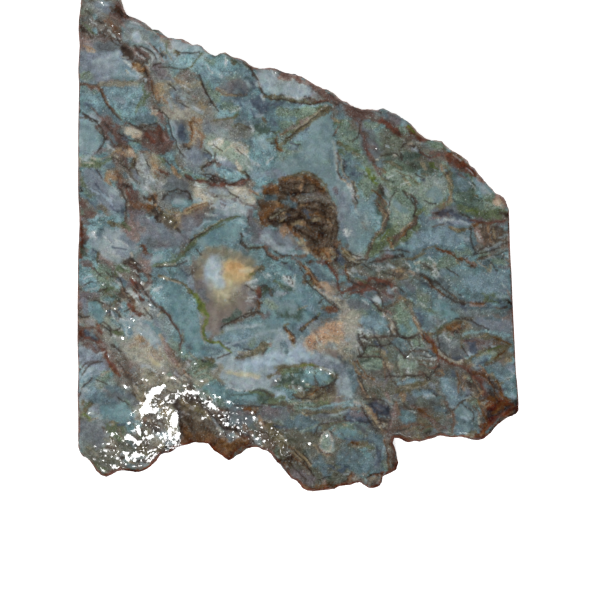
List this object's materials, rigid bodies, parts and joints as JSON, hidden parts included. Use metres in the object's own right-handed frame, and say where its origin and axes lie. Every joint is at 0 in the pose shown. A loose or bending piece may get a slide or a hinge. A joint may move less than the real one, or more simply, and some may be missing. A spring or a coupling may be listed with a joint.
{
  "type": "moss agate slab",
  "caption": "Flat lapidary slab of moss agate, sawn on both faces and two edges and left broken along the others, with an open rusty vug.",
  "frame": {"origin": "under the middle of the slab's outline, on the plane of the sawn back face", "axes": "+Z out of the sawn front face, the slab's thickness; +Y along the long sawn left edge, towards the pointed tip; +X across the slab, from the long sawn edge to the short one"},
  "size_m": [0.1106, 0.1276, 0.006],
  "materials": {
    "moss_agate": "sawn and wetted, glossy; blue-grey chalcedony with green moss, red-brown jasper veins and cream patches"
  },
  "bodies": {
    "root": {"moss_agate_slab": "moss_agate"}
  },
  "joints": []
}
